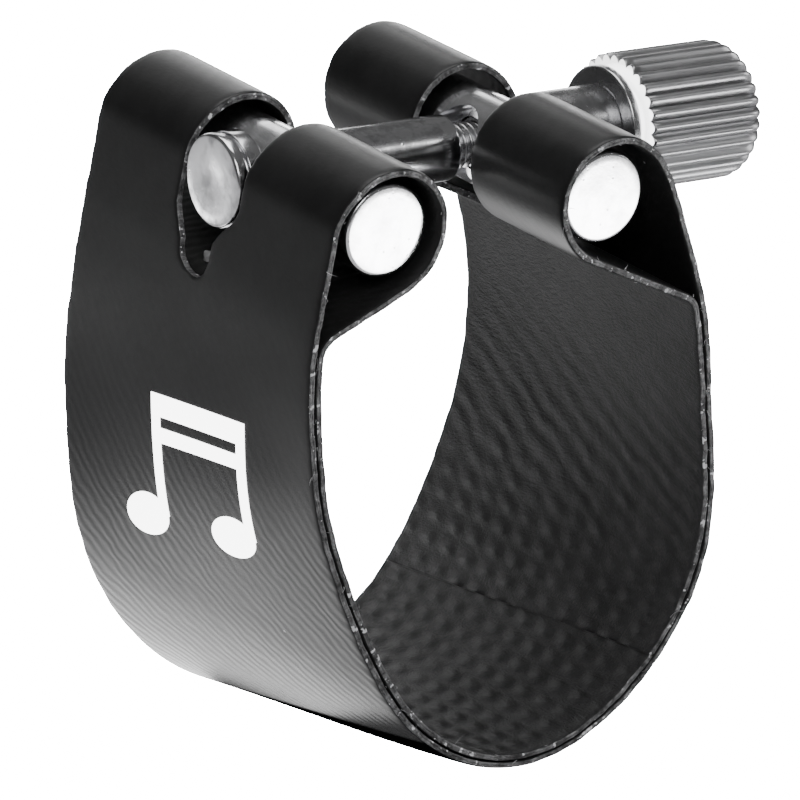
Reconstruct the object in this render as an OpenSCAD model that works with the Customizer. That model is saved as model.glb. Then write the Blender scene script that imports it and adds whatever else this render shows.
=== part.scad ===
// Saxophone ligature: a folded leather-cloth strap carried by two cross bars,
// drawn together by a thumbscrew that runs into a threaded sleeve nut.
// Frame: the origin is the centre of the mouthpiece opening, +X points to the
// thumbscrew, +Y along the mouthpiece, +Z up to the bars. Millimetres.

/* [Strap] */
// Length of the strap along the mouthpiece
strap_len = 26.4; // [24:0.1:30]
// Thickness of one ply of the strap
ply_t = 0.55; // [0.4:0.05:0.6]
// Half of the strap's greatest outer width
belly_half_w = 16.2; // [15:0.1:18]
// Depth of the belly below its widest level
belly_depth = 23.7; // [20:0.1:26]
// Height of the widest level above the origin
belly_z = 1.5; // [0:0.1:3]
// How far the slack strap leans towards the thumbscrew at the bottom
lean = 3.8; // [0:0.1:4]
// Width of the notch between the two loops of one side
notch_w = 6.6; // [6.4:0.1:8]
// Depth of the notch below the bars' axis
notch_depth = 6.9; // [5:0.1:7]
// Radius of the notch's lower corners
notch_r = 2.2; // [1:0.1:3]

/* [Bars] */
// Diameter of the cross bars
bar_d = 6; // [5:0.1:6.2]
// How far each bar end lies inside the strap's edge
bar_recess = 0.9; // [0.3:0.1:2]
// Distance between the axes of the two bars
bar_gap = 16.7; // [16:0.1:18]
// Height of the bars' axes above the origin
bar_z = 17.5; // [17:0.1:18]
// Chamfer of the bar ends
bar_chamfer = 0.25; // [0.1:0.05:0.5]

/* [Sleeve nut] */
// Outer diameter of the sleeve
sleeve_d = 4.3; // [4:0.1:4.6]
// Bore of the sleeve
sleeve_bore_d = 3.1; // [3:0.05:3.2]
// Diameter of the sleeve's head
head_d = 6; // [5.5:0.1:6.4]
// How far the head stands out of the bar
head_out = 1.7; // [1.2:0.1:2]
// Gap between the sleeve's end and the other bar
sleeve_gap = 0.7; // [0.5:0.1:1]

/* [Thumbscrew] */
// Diameter of the screw's threaded shank, over the thread's root
shank_d = 2.6; // [2.4:0.1:2.7]
// Diameter of the journal that turns in the right bar
journal_d = 3.4; // [3.2:0.1:3.6]
// Diameter of the boss between the bar and the flange
boss_d = 5.4; // [5:0.1:5.6]
// Length of the boss outside the bar
boss_len = 5.6; // [5:0.1:6]
// Diameter of the thrust flange
flange_d = 7.8; // [7:0.1:8.4]
// Thickness of the thrust flange
flange_t = 0.7; // [0.5:0.1:1]
// Diameter of the knob over its ridges
knob_d = 9.2; // [8.5:0.1:10]
// Length of the knob
knob_len = 9.9; // [9:0.1:11]
// Number of ridges round the knob
ridges = 30; // [24:1:34]

/* [Hidden] */
$fn = 64;
left = -1;                   // the sleeve nut's side
right = 1;                   // the thumbscrew's side
// Sides are drawn in [u, z]: u is the distance from the bars' middle plane. The slack
// strap leans, so that plane lies a little to the left of the origin.
bar_mid_x = -2.5;
bar_u = bar_gap / 2;
bar_r = bar_d / 2;
bar_len = strap_len - 2 * bar_recess;
glue = 0.02;                 // film between the two plies
split = 0.15;                // gap between the halves of the strap at the bottom

// The outline is the strap's outer surface, from the bottom up. A heading turns from +Z
// towards the middle: an arc of radius r from heading a to b moves by
// r * [cos b - cos a, sin b - sin a]. Each arc is [radius, first heading, last heading].
wall_arc = [42, 0, 18];
shoulder_arc = [15.5, 18, 45];
crown_arc = [3.5, 45, 90];
nose_arc = [3.6, 90, 180];
chin_arc = [5, 180, 246];
function along(start, arc, heading) =
    start + arc[0] * [cos(heading) - cos(arc[1]), sin(heading) - sin(arc[1])];
function arc_pts(start, arc, n) =
    [for (i = [1:n]) along(start, arc, arc[1] + (arc[2] - arc[1]) * i / n)];
function last(pts) = pts[len(pts) - 1];

widest = [belly_half_w, belly_z];
belly_steps = 18;
belly = [for (i = [0:belly_steps]) let (a = 90 * i / belly_steps)
    [belly_half_w * sin(a), belly_z - belly_depth * cos(a)]];
wall = arc_pts(widest, wall_arc, 6);
shoulder = arc_pts(last(wall), shoulder_arc, 6);
crown = arc_pts(last(shoulder), crown_arc, 6);
nose = arc_pts(last(crown), nose_arc, 12);
chin = arc_pts(last(nose), chin_arc, 9);

// The lean grows smoothly from nothing beside the bars to its full value at the bottom, so
// one side stands out by what the other stands in. Above lean_top the loops fit the bars.
lean_top = bar_z + bar_d / 4;
lean_bottom = belly_z - belly_depth;
function lean_at(z) = z > lean_top ? 0
    : lean * sin(90 * (lean_top - z) / (lean_top - lean_bottom));
function leaned(pts, side) = [for (p = pts) [p[0] + side * lean_at(p[1]), p[1]]];

// Below the chin the ply runs straight back to the wall and bends down along it
flap_heading = chin_arc[2];
seam_heading = 191;
flap_bend_r = 1.2;
flap_dir = [-sin(flap_heading), cos(flap_heading)];
function bend_at(heading) =
    flap_bend_r * [cos(flap_heading) - cos(heading), sin(flap_heading) - sin(heading)];
function wall_u(z, side) =
    belly_half_w - wall_arc[0] * (1 - cos(asin((z - belly_z) / wall_arc[0]))) + side * lean_at(z);
lining_depth = 2 * ply_t + glue;
seam_gap = 0.05;             // keeps the bend's outside off the wall's inner face
// length of the straight stretch: its bend ends on the lining's inner surface, at height z
function flap_run(side, z) =
    (wall_u(z, side) - lining_depth - seam_gap - bend_at(seam_heading)[0] - last(chin)[0]) / flap_dir[0];
function bend_end_z(run) = last(chin)[1] + run * flap_dir[1] + bend_at(seam_heading)[1];
// the wall is nearly upright, so two steps settle the height at which they meet
function seam_z(side) = bend_end_z(flap_run(side, bend_end_z(flap_run(side, bar_z - bar_d))));
function flap(side) = let (corner = last(chin) + flap_run(side, seam_z(side)) * flap_dir)
    [for (i = [0:6]) corner + bend_at(flap_heading + (seam_heading - flap_heading) * i / 6)];

// Points of a path moved inwards by d, along the normal to the path at each point
function inward(pts, d) = [for (i = [0:len(pts) - 1])
    let (a = pts[max(i - 1, 0)], b = pts[min(i + 1, len(pts) - 1)], t = (b - a) / norm(b - a))
    pts[i] + d * [-t[1], t[0]]];
function reversed(pts) = [for (i = [len(pts) - 1:-1:0]) pts[i]];
module band(pts, from, to) polygon(concat(inward(pts, from), reversed(inward(pts, to))));

function outer_path(side) =
    concat(leaned(concat(belly, wall, shoulder, crown), side), nose, chin, flap(side));
// The lining starts square to the wall, just under the end of the flap
function wall_slope(z, side) = wall_u(z - 0.5, side) - wall_u(z + 0.5, side);
function lining_top(side) = let (z = seam_z(side))
    z + lining_depth * wall_slope(z, side) - 2 * seam_gap;
function lining_path(side) = let (top = lining_top(side))
    concat([for (p = leaned(concat(belly, wall), side)) if (p[1] < top - 0.5) p],
        [[wall_u(top, side), top]]);

// A profile in [u, z] drawn out along Y and put on its side of the bars' middle plane
module along_y(side, length) translate([bar_mid_x, 0, 0]) scale_side(side)
    rotate([90, 0, 0]) linear_extrude(length, center = true) children();
module scale_side(side) if (side == left) mirror([1, 0, 0]) children(); else children();

// The halves part at the bottom, where the strap bends as it closes
module half(side) difference() {
    along_y(side, strap_len) children();
    translate([bar_mid_x + lean - side * 10, 0, lean_bottom])
        cube([20 + split, strap_len + 1, 20], center = true);
}
// Slot between the two loops of a side, round at its lower corners
module notch(side) translate([bar_mid_x + side * (bar_u + 1), 0, bar_z]) {
    slot_h = 2 * bar_d;
    translate([0, 0, (slot_h - notch_depth + notch_r) / 2])
        cube([22, notch_w, slot_h + notch_depth - notch_r], center = true);
    for (y = [-1, 1]) translate([0, y * (notch_w / 2 - notch_r), notch_r - notch_depth])
        rotate([0, 90, 0]) cylinder(h = 22, r = notch_r, center = true);
    translate([0, 0, notch_r - notch_depth])
        cube([22, notch_w - 2 * notch_r, 2 * notch_r], center = true);
}
module outer_ply(side) color([0.09, 0.09, 0.095]) difference() {
    half(side) band(outer_path(side), 0, ply_t);
    notch(side);
}
module lining_ply(side) color([0.16, 0.16, 0.165]) difference() {
    half(side) band(lining_path(side), ply_t + glue, lining_depth);
    notch(side);
}
module strap_outer_left() outer_ply(left);
module strap_outer_right() outer_ply(right);
module strap_lining_left() lining_ply(left);
module strap_lining_right() lining_ply(right);

// Everything turned is drawn along the screw's axis, from x = a to x = b
module turned(a, b, d, chamfer = 0) translate([a, 0, bar_z]) rotate([0, 90, 0])
    rotate_extrude() polygon([[0, 0], [d / 2 - chamfer, 0], [d / 2, chamfer],
        [d / 2, b - a - chamfer], [d / 2 - chamfer, b - a], [0, b - a]]);
module plain(a, b, d) translate([a, 0, bar_z]) rotate([0, 90, 0]) cylinder(h = b - a, d = d);
bar_left_x = bar_mid_x - bar_u;
bar_right_x = bar_mid_x + bar_u;
fit_gap = 0.03;
module bar(x) translate([x, -bar_len / 2, bar_z]) rotate([-90, 0, 0]) rotate_extrude()
    polygon([[0, 0], [bar_r - bar_chamfer, 0], [bar_r, bar_chamfer],
        [bar_r, bar_len - bar_chamfer], [bar_r - bar_chamfer, bar_len], [0, bar_len]]);

// The head sits in a flat-bottomed seat in the left bar, and the sleeve goes through it
seat_depth = 0.5;
module bar_left() color([0.72, 0.73, 0.74]) difference() {
    bar(bar_left_x);
    plain(bar_left_x - bar_d, bar_left_x + bar_d, sleeve_d + 2 * fit_gap);
    plain(bar_left_x - bar_d, bar_left_x - bar_r + seat_depth, head_d + 2 * fit_gap);
}
// The right bar turns on the screw's journal. Its counterbore takes in the sleeve's end.
journal_fit = 0.05;
close_travel = 2;            // how far the bars can be drawn together
sleeve_end_x = bar_right_x - bar_r - sleeve_gap;
counterbore_x = sleeve_end_x + close_travel + 0.3;
counterbore_d = sleeve_d + 0.7;
module bar_right() color([0.72, 0.73, 0.74]) difference() {
    bar(bar_right_x);
    plain(bar_right_x - bar_d, bar_right_x + bar_d, journal_d + 2 * journal_fit);
    plain(bar_right_x - bar_d, counterbore_x, counterbore_d);
}

head_x = bar_left_x - bar_r - head_out;
seat_x = bar_left_x - bar_r + seat_depth - fit_gap;
head_wall = 1.5;             // closed end of the bore
groove_w = 0.25;
groove_depth = 0.3;
module sleeve_nut() color([0.78, 0.79, 0.8]) difference() {
    union() {
        turned(head_x, seat_x, head_d, 0.2);
        plain(seat_x - 0.1, sleeve_end_x, sleeve_d);
    }
    plain(head_x + head_wall, sleeve_end_x + 1, sleeve_bore_d);
    // groove round the head
    translate([head_x + 0.8, 0, bar_z]) rotate([0, 90, 0]) difference() {
        cylinder(h = groove_w, d = head_d + 1);
        translate([0, 0, -1]) cylinder(h = groove_w + 2, d = head_d - 2 * groove_depth);
    }
}

// The screw: threaded shank, journal and boss in one, pressed into the knob
boss_x = bar_right_x + bar_r + 0.05;
flange_x = boss_x + boss_len;
knob_x = flange_x + flange_t + 0.5;
knob_end_x = knob_x + knob_len;
shank_tip_x = bar_mid_x - 5;
journal_x = counterbore_x + 0.2;
tang_d = 3;                  // end of the screw inside the knob
tang_len = 6;
module screw_shank() color([0.75, 0.76, 0.77]) union() {
    turned(shank_tip_x, journal_x + 0.1, shank_d, 0.3);
    plain(journal_x, boss_x + 0.1, journal_d);
    plain(boss_x, flange_x, boss_d);
    plain(flange_x - 0.1, knob_x + tang_len, tang_d);
}
module thrust_flange() color([0.6, 0.61, 0.62]) difference() {
    turned(flange_x + 0.01, flange_x + flange_t, flange_d, 0.1);
    plain(flange_x - 1, knob_x, tang_d + 0.02);
}
ridge_groove_r = 0.34;
knob_round = 1.3;
neck_d = 5;
module knob_profile() {
    difference() {
        union() {
            square([knob_d / 2, knob_len - knob_round]);
            square([knob_d / 2 - knob_round, knob_len]);
            translate([knob_d / 2 - knob_round, knob_len - knob_round]) circle(r = knob_round);
        }
        translate([-knob_d, -1]) square([knob_d, knob_len + 2]);
    }
    // neck between the flange and the knob
    translate([0, -0.48]) square([neck_d / 2, 1]);
}
module thumb_knob() color([0.7, 0.71, 0.72]) difference() {
    translate([knob_x, 0, bar_z]) rotate([0, 90, 0]) rotate_extrude() knob_profile();
    plain(knob_x - 1, knob_x + tang_len + 0.02, tang_d + 0.02);
    for (i = [0:ridges - 1]) translate([knob_x - 1, 0, bar_z]) rotate([360 * i / ridges, 0, 0])
        translate([0, 0, knob_d / 2 + 0.1]) rotate([0, 90, 0])
            cylinder(h = knob_len + 2, r = ridge_groove_r, $fn = 16);
}

strap_outer_left();
strap_outer_right();
strap_lining_left();
strap_lining_right();
bar_left();
bar_right();
sleeve_nut();
screw_shank();
thrust_flange();
thumb_knob();
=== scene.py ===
"""Strap ligature for a saxophone mouthpiece: its looks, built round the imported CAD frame.

Shapes are worked out in millimetres, in the row frame, and go into their meshes in metres.
The strap is one folded strip; the bars, nut and screw are turned parts."""
import math

import bmesh
import bpy
import numpy as np
from mathutils import Matrix, Vector


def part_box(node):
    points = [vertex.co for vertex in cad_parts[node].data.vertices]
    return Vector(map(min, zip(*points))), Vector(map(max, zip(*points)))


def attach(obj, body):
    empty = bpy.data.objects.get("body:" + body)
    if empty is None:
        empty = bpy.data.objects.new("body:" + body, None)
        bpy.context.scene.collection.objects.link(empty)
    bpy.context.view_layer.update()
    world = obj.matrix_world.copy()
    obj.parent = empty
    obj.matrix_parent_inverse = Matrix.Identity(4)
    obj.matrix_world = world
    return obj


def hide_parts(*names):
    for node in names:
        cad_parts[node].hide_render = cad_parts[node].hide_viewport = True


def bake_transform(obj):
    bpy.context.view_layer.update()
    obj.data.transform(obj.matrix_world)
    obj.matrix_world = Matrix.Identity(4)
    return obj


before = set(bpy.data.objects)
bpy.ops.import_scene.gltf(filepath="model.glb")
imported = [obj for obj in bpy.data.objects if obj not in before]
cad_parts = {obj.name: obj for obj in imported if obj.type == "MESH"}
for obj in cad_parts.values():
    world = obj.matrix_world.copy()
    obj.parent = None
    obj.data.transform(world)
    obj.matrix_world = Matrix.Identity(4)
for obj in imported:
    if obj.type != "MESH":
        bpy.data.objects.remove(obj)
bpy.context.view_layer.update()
MM = 0.001


def box_mm(node):
    """Lowest and highest corner of a CAD node, in millimetres."""
    low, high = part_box(node)
    return np.array(low) / MM, np.array(high) / MM


# ---------------------------------------------------------------- places taken from the frame
LEFT_BAR = box_mm("bar_left")
RIGHT_BAR = box_mm("bar_right")
OUTER_LEFT = box_mm("strap_outer_left")
SLEEVE = box_mm("sleeve_nut")
SHANK = box_mm("screw_shank")
FLANGE = box_mm("thrust_flange")
KNOB = box_mm("thumb_knob")
BAR_R = (LEFT_BAR[1][2] - LEFT_BAR[0][2]) / 2
LEFT_X = LEFT_BAR[0][0] + BAR_R
RIGHT_X = RIGHT_BAR[0][0] + BAR_R
BAR_Z = (LEFT_BAR[1][2] + LEFT_BAR[0][2]) / 2
MID_X = (LEFT_X + RIGHT_X) / 2
HALF_LEN = (OUTER_LEFT[1][1] - OUTER_LEFT[0][1]) / 2
BOTTOM_Z = OUTER_LEFT[0][2]


# ---------------------------------------------------------------- meshes
def put_mesh(name, points, faces, materials, smooth=True):
    """A new object from points in millimetres and faces of point numbers. Its place is in its mesh."""
    mesh = bpy.data.meshes.new(name)
    mesh.from_pydata((np.asarray(points, float) * MM).tolist(), [], [list(f) for f in faces])
    for material in materials:
        mesh.materials.append(material)
    mesh.polygons.foreach_set("use_smooth", [smooth] * len(mesh.polygons))
    mesh.update()
    piece = bpy.data.objects.new(name, mesh)
    bpy.context.scene.collection.objects.link(piece)
    return piece


def grid_faces(rows, cols, close_rows=False, close_cols=False, start=0):
    """Quads of a grid whose point (i, j) is number start + i * cols + j. A closed way joins its last line
    to its first."""
    i = np.arange(rows if close_rows else rows - 1)[:, None]
    j = np.arange(cols if close_cols else cols - 1)[None, :]
    i2, j2 = (i + 1) % rows, (j + 1) % cols
    quads = np.stack([i * cols + j, i * cols + j2, i2 * cols + j2, i2 * cols + j], -1)
    return quads.reshape(-1, 4) + start


def merge(piece, distance_mm=1e-3, outwards=False):
    """Joins points that share a place, drops what has no face, and can turn the faces outwards."""
    bm = bmesh.new()
    bm.from_mesh(piece.data)
    bmesh.ops.remove_doubles(bm, verts=bm.verts, dist=distance_mm * MM)
    bmesh.ops.dissolve_degenerate(bm, edges=bm.edges, dist=distance_mm * MM * 0.1)
    bmesh.ops.delete(bm, geom=[v for v in bm.verts if not v.link_faces], context="VERTS")
    if outwards:
        bmesh.ops.recalc_face_normals(bm, faces=bm.faces)
    bm.to_mesh(piece.data)
    bm.free()
    piece.data.update()


def close_holes(piece):
    """Fills every open rim with a face and turns all faces outwards."""
    bm = bmesh.new()
    bm.from_mesh(piece.data)
    bmesh.ops.holes_fill(bm, edges=[e for e in bm.edges if e.is_boundary])
    bmesh.ops.recalc_face_normals(bm, faces=bm.faces)
    bm.to_mesh(piece.data)
    bm.free()
    piece.data.update()


def smooth_by_angle(piece, degrees=35):
    """Faces that meet at more than the angle keep a sharp edge between them."""
    piece.data.set_sharp_from_angle(angle=math.radians(degrees))


def turned(name, profile, axis, centre, materials, turns=96, ripple=None):
    """Surface of revolution: point (i, j) is at distance along[i] on the axis and at radius[i] times
    (cos t, sin t) across it, where t goes once round. profile is rows of (along, radius) and starts and
    ends on the axis. ripple(along, radius, t) multiplies the radius."""
    profile = np.array(profile, float)
    t = np.linspace(0, 2 * math.pi, turns, endpoint=False)
    along, radius = np.meshgrid(profile[:, 0], t, indexing="ij")[0], np.repeat(profile[:, 1:], turns, 1)
    if ripple is not None:
        radius = radius * ripple(along, radius, t[None, :])
    across = np.stack([radius * np.cos(t), radius * np.sin(t)], -1)
    if axis == "X":
        points = np.stack([along, across[..., 0], across[..., 1]], -1)
    else:
        points = np.stack([across[..., 1], along, across[..., 0]], -1)
    points = points.reshape(-1, 3) + centre
    piece = put_mesh(name, points, grid_faces(len(profile), turns, close_cols=True), materials)
    merge(piece, 1e-3, outwards=True)
    smooth_by_angle(piece)
    return piece


def rounded(corners, radii, steps=5):
    """A profile through corners of (along, radius), each rounded by an arc: the point is moved from the
    line before to the line after on a quadratic curve that starts and ends radii[i] from the corner."""
    corners = [np.array(c, float) for c in corners]
    out = [corners[0]]
    for before, corner, after, r in zip(corners, corners[1:], corners[2:], radii):
        if r <= 0:
            out.append(corner)
            continue
        a = corner + (before - corner) / np.linalg.norm(before - corner) * r
        b = corner + (after - corner) / np.linalg.norm(after - corner) * r
        for t in np.linspace(0, 1, steps):
            out.append((1 - t) ** 2 * a + 2 * t * (1 - t) * corner + t ** 2 * b)
    out.append(corners[-1])
    return out


def cut(piece, tool):
    """Takes the tool out of the piece with a boolean, applied to its mesh, and removes the tool."""
    modifier = piece.modifiers.new("cut", "BOOLEAN")
    modifier.operation = "DIFFERENCE"
    modifier.solver = "EXACT"
    modifier.object = tool
    bpy.context.view_layer.update()
    evaluated = piece.evaluated_get(bpy.context.evaluated_depsgraph_get())
    mesh = bpy.data.meshes.new_from_object(evaluated)
    piece.modifiers.clear()
    piece.data = mesh
    bpy.data.objects.remove(tool)
    merge(piece, 1e-4)
    smooth_by_angle(piece)


# ---------------------------------------------------------------- node helpers
def new_group(name, inputs, outputs):
    """A shader node group with named sockets: (name, socket type, default)."""
    group = bpy.data.node_groups.new(name, "ShaderNodeTree")
    for label, kind, default in inputs:
        socket = group.interface.new_socket(name=label, in_out="INPUT", socket_type=kind)
        if default is not None:
            socket.default_value = default
    for label, kind in outputs:
        group.interface.new_socket(name=label, in_out="OUTPUT", socket_type=kind)
    return group, group.nodes.new("NodeGroupInput"), group.nodes.new("NodeGroupOutput")


def node(tree, kind, inputs=None, **settings):
    """A node with its settings and its inputs: a socket links, anything else is the input's value."""
    made = tree.nodes.new(kind)
    for key, value in settings.items():
        setattr(made, key, value)
    for key, value in (inputs or {}).items():
        if isinstance(value, bpy.types.NodeSocket):
            tree.links.new(value, made.inputs[key])
        else:
            made.inputs[key].default_value = value
    return made


def maths(tree, operation, a, b=0.0, c=None, clamp=False):
    """The output of one Math node."""
    inputs = {0: a, 1: b} if c is None else {0: a, 1: b, 2: c}
    return node(tree, "ShaderNodeMath", inputs, operation=operation, use_clamp=clamp).outputs[0]


def ramp(tree, value, low, high, to_low=0.0, to_high=1.0, kind="SMOOTHSTEP"):
    """A value carried from low..high to to_low..to_high, held at both ends."""
    return node(tree, "ShaderNodeMapRange", {"Value": value, "From Min": low, "From Max": high,
                "To Min": to_low, "To Max": to_high}, interpolation_type=kind).outputs[0]


def noise(tree, vector, scale, detail=3.0, roughness=0.55, distortion=0.0):
    """The value of a noise texture."""
    return node(tree, "ShaderNodeTexNoise", {"Vector": vector, "Scale": scale, "Detail": detail,
                "Roughness": roughness, "Distortion": distortion}).outputs["Fac"]


def stretched(tree, vector, scale):
    """The vector times a scale on each axis."""
    return node(tree, "ShaderNodeVectorMath", {0: vector, 1: scale}, operation="MULTIPLY").outputs[0]


def mixed(tree, factor, a, b):
    """A colour between a and b."""
    made = node(tree, "ShaderNodeMix", {"Factor": factor}, data_type="RGBA")
    for index, value in ((6, a), (7, b)):
        if isinstance(value, bpy.types.NodeSocket):
            tree.links.new(value, made.inputs[index])
        else:
            made.inputs[index].default_value = value
    return made.outputs[2]


def grey(value):
    """A grey that is very slightly cool."""
    return (value, value, value * 1.02, 1.0)


def new_material(name):
    """A material with a plain node tree: its tree, its Principled BSDF and its Object coordinates."""
    material = bpy.data.materials.new(name)
    material.use_nodes = True
    tree = material.node_tree
    shader = tree.nodes["Principled BSDF"]
    place = tree.nodes.new("ShaderNodeTexCoord").outputs["Object"]
    return material, tree, shader, place


def use_bump(tree, shader, height, distance_mm):
    """Bends the shader's normal by a height of 0 to 1 that stands for a distance."""
    bump = node(tree, "ShaderNodeBump", {"Height": height, "Distance": distance_mm * MM, "Strength": 1.0})
    tree.links.new(bump.outputs[0], shader.inputs["Normal"])


def use_group(tree, group, inputs):
    """The outputs of a shared effect."""
    return node(tree, "ShaderNodeGroup", inputs, node_tree=group).outputs


# ---------------------------------------------------------------- shared effects
def make_weave_group():
    """Cloth pressed through a coating: slanting ribs, and bumps where warp and weft cross. All are sine
    waves over the strip's own coordinates, which are millimetres along it and across it."""
    group, given, out = new_group("embossed weave", [
        ("Strip", "NodeSocketVector", None), ("Rib pitch", "NodeSocketFloat", 0.8),
        ("Bump pitch", "NodeSocketFloat", 1.5), ("Slant", "NodeSocketFloat", 45.0),
        ("Waffle", "NodeSocketFloat", 0.5), ("Wander", "NodeSocketFloat", 0.2)],
        [("Height", "NodeSocketFloat"), ("Patch", "NodeSocketFloat")])
    socket = given.outputs
    drift = noise(group, socket["Strip"], 0.35, 2.0)
    drift = maths(group, "MULTIPLY", maths(group, "SUBTRACT", drift, 0.5), socket["Wander"])
    axes = node(group, "ShaderNodeSeparateXYZ", {0: socket["Strip"]}).outputs
    angle = maths(group, "RADIANS", socket["Slant"])
    along = maths(group, "ADD", maths(group, "MULTIPLY", axes[0], maths(group, "COSINE", angle)),
                  maths(group, "MULTIPLY", axes[1], maths(group, "SINE", angle)))
    along = maths(group, "ADD", along, maths(group, "MULTIPLY", drift, 6.0))
    turn = 2 * math.pi
    rib = maths(group, "SINE", maths(group, "DIVIDE", maths(group, "MULTIPLY", along, turn),
                                     socket["Rib pitch"]))
    weft_place = maths(group, "ADD", axes[0], maths(group, "MULTIPLY", axes[1], 0.12))
    weft = maths(group, "SINE", maths(group, "DIVIDE", maths(group, "MULTIPLY", weft_place, turn),
                                      socket["Bump pitch"]))
    warp_place = maths(group, "ADD", axes[1], maths(group, "MULTIPLY", axes[0], 0.12))
    warp = maths(group, "SINE", maths(group, "DIVIDE", maths(group, "MULTIPLY", warp_place, turn),
                                      maths(group, "MULTIPLY", socket["Bump pitch"], 1.45)))
    bumps = maths(group, "MULTIPLY", maths(group, "ADD", weft, 1.0), maths(group, "ADD", warp, 1.0))
    bumps = maths(group, "MULTIPLY", bumps, 0.25)
    patch = ramp(group, noise(group, socket["Strip"], 0.12, 3.0), 0.35, 0.65, 0.6, 1.0)
    ribs = maths(group, "MULTIPLY_ADD", rib, 0.5, 0.5)
    height = node(group, "ShaderNodeMix", {"Factor": socket["Waffle"], "A": ribs, "B": bumps},
                  data_type="FLOAT").outputs[0]
    grain = noise(group, socket["Strip"], 7.0, 4.0, 0.6)
    height = maths(group, "ADD", maths(group, "MULTIPLY", height, patch),
                   maths(group, "MULTIPLY", grain, 0.18))
    group.links.new(height, out.inputs["Height"])
    group.links.new(patch, out.inputs["Patch"])
    return group


def make_dust_group():
    """Sparse specks: points of a cell pattern closer to their cell's middle than the size, kept only
    where a second pattern is high."""
    group, given, out = new_group("dust", [
        ("Place", "NodeSocketVector", None), ("Cells", "NodeSocketFloat", 400.0),
        ("Size", "NodeSocketFloat", 0.06), ("Amount", "NodeSocketFloat", 0.05)],
        [("Mask", "NodeSocketFloat")])
    socket = given.outputs
    cells = node(group, "ShaderNodeTexVoronoi", {"Vector": socket["Place"], "Scale": socket["Cells"]})
    speck = maths(group, "LESS_THAN", cells.outputs["Distance"], socket["Size"])
    chosen = node(group, "ShaderNodeSeparateColor", {0: cells.outputs["Color"]}).outputs[0]
    chosen = maths(group, "LESS_THAN", chosen, socket["Amount"])
    group.links.new(maths(group, "MULTIPLY", speck, chosen), out.inputs["Mask"])
    return group


def make_finish_group():
    """A metal's surface: fine lines stretched along one axis, cloudy stains and small pits."""
    group, given, out = new_group("metal finish", [
        ("Place", "NodeSocketVector", None), ("Stretch", "NodeSocketVector", (1.0, 1.0, 1.0)),
        ("Lines", "NodeSocketFloat", 2500.0), ("Stain scale", "NodeSocketFloat", 300.0)],
        [("Lines", "NodeSocketFloat"), ("Stains", "NodeSocketFloat"), ("Pits", "NodeSocketFloat")])
    socket = given.outputs
    drawn = node(group, "ShaderNodeVectorMath", {0: socket["Place"], 1: socket["Stretch"]},
                 operation="MULTIPLY").outputs[0]
    group.links.new(noise(group, drawn, socket["Lines"], 3.0, 0.6), out.inputs["Lines"])
    stains = ramp(group, noise(group, socket["Place"], socket["Stain scale"], 4.0, 0.6), 0.4, 0.7)
    group.links.new(stains, out.inputs["Stains"])
    pits = node(group, "ShaderNodeTexVoronoi", {"Vector": socket["Place"], "Scale": 1400.0})
    group.links.new(ramp(group, pits.outputs["Distance"], 0.04, 0.14, 1.0, 0.0), out.inputs["Pits"])
    return group


WEAVE = make_weave_group()
DUST = make_dust_group()
FINISH = make_finish_group()


# ---------------------------------------------------------------- materials
STRIP_UNIT = 100.0              # millimetres to one unit of the strap's own coordinates
# painted glow for the print and the knob's end face: emission on surfaces that are no lamps
PRINT_PAINTED_GLOW = 7.0                # lifts the print and the knob's end face to an overexposed white
KNOB_FACE_PAINTED_GLOW = 3.0


def strip_place(tree):
    """The strap's own coordinates: millimetres along it and across it."""
    strip = node(tree, "ShaderNodeUVMap", uv_map="strip").outputs[0]
    return stretched(tree, strip, (STRIP_UNIT, STRIP_UNIT, STRIP_UNIT))


def paint_glow(shader, strength):
    """Paints light into a surface: it shines white by itself, though it is no lamp."""
    shader.inputs["Emission Color"].default_value = (1, 1, 1, 1)
    shader.inputs["Emission Strength"].default_value = strength


def make_strap_material(name, rib_pitch, bump_pitch, slant, waffle, depth_mm, tone, shine, faded):
    """Black coated cloth: the weave shows through a satin coat, with dust and a slightly worn shine. From
    the belly up the weave fades to its faded share. The coat is smoother at the bottom and by the bars."""
    material, tree, shader, place = new_material(name)
    strip_mm = strip_place(tree)
    height = node(tree, "ShaderNodeSeparateXYZ", {0: place}).outputs[2]
    waffle = ramp(tree, height, -0.013, -0.004, waffle, waffle * 0.3)
    weave = use_group(tree, WEAVE, {"Strip": strip_mm, "Rib pitch": rib_pitch,
                                    "Bump pitch": bump_pitch, "Slant": slant, "Waffle": waffle})
    cloud = noise(tree, place, 220.0, 4.0, 0.6)
    colour = mixed(tree, ramp(tree, cloud, 0.3, 0.7), grey(tone * 0.8), grey(tone * 1.25))
    dust = use_group(tree, DUST, {"Place": place, "Cells": 520.0, "Size": 0.05, "Amount": 0.02})
    colour = mixed(tree, dust["Mask"], colour, grey(0.55))
    tree.links.new(colour, shader.inputs["Base Color"])
    rough = maths(tree, "ADD", ramp(tree, weave["Height"], 0.0, 1.2, shine + 0.01, shine - 0.01),
                  maths(tree, "MULTIPLY", noise(tree, place, 900.0, 3.0), 0.08), clamp=True)
    rough = maths(tree, "SUBTRACT", rough, ramp(tree, height, 0.010, 0.016, 0.0, 0.09))
    rough = maths(tree, "SUBTRACT", rough, ramp(tree, height, -0.016, -0.011, 0.16, 0.0))
    tree.links.new(rough, shader.inputs["Roughness"])
    shader.inputs["Specular IOR Level"].default_value = 0.25
    share = ramp(tree, height, -0.015, 0.006, 1.0, faded)
    grain = noise(tree, stretched(tree, strip_mm, (1.0, 0.4, 1.0)), 5.0, 4.0, 0.7)
    relief = maths(tree, "ADD", maths(tree, "MULTIPLY", weave["Height"], share),
                   maths(tree, "MULTIPLY", grain, 0.3))
    use_bump(tree, shader, relief, depth_mm)
    return material


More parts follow.
